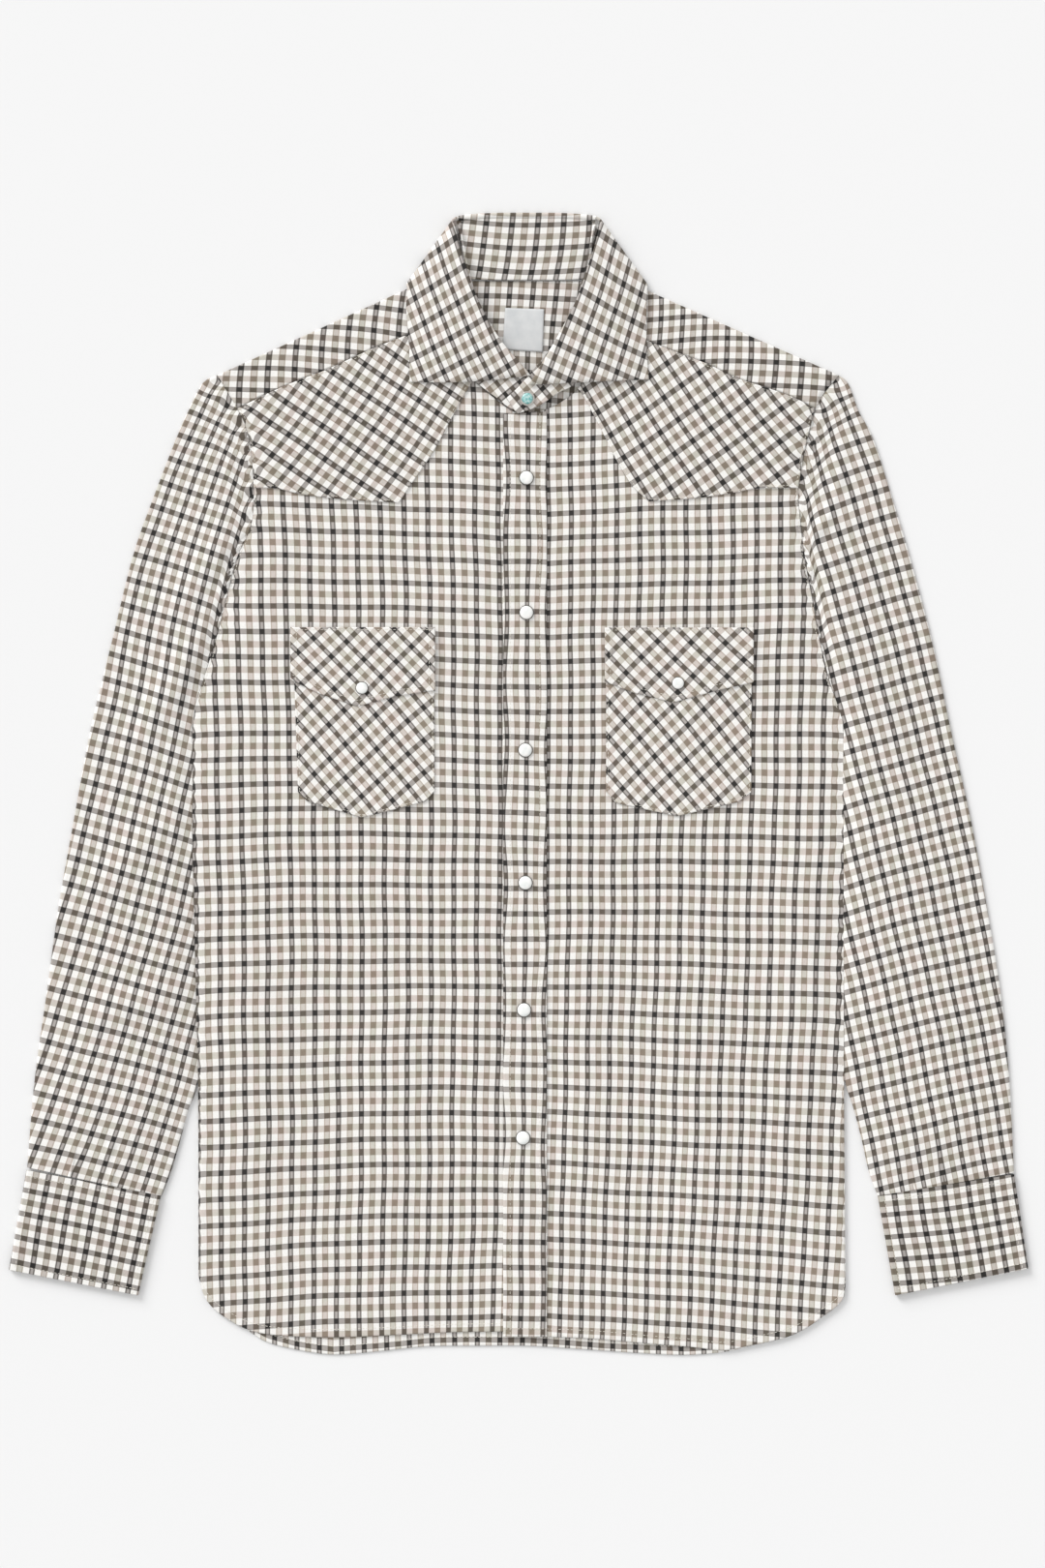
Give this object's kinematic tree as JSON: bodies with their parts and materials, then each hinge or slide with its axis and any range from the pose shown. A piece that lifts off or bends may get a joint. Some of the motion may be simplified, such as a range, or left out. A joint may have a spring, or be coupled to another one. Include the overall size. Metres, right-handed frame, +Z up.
{
  "type": "western snap shirt laid flat",
  "caption": "Long-sleeved western snap shirt laid flat, with pointed yokes, flap pockets, folded collar and closed cuffs, in a small tattersall check.",
  "frame": {"origin": "under the middle of the laid shirt, on the surface it lies on", "axes": "+X to the right of the laid shirt seen from above, +Y towards the collar, +Z up from the surface"},
  "size_m": [0.758, 0.8492, 0.011],
  "materials": {
    "check_cotton": "matt woven cotton, small check in charcoal and taupe on white",
    "label_satin": "plain woven satin tab, pale silver grey",
    "pearl_cap": "pearl white cap in a thin metal ring",
    "stone_cap": "muted turquoise cap in a thin metal ring"
  },
  "bodies": {
    "root": {"back": "check_cotton", "back_yoke": "check_cotton", "front_left": "check_cotton", "front_right": "check_cotton", "front_yoke_left": "check_cotton", "front_yoke_right": "check_cotton", "placket": "check_cotton", "pocket_left": "check_cotton", "pocket_right": "check_cotton", "flap_left": "check_cotton", "flap_right": "check_cotton", "sleeve_left": "check_cotton", "sleeve_right": "check_cotton", "cuff_left": "check_cotton", "cuff_right": "check_cotton", "collar_stand": "check_cotton", "collar_leaf": "check_cotton", "label": "label_satin", "snap_collar": "stone_cap", "snap_front_1": "pearl_cap", "snap_front_2": "pearl_cap", "snap_front_3": "pearl_cap", "snap_front_4": "pearl_cap", "snap_front_5": "pearl_cap", "snap_front_6": "pearl_cap", "snap_pocket_left": "pearl_cap", "snap_pocket_right": "pearl_cap"}
  },
  "joints": []
}
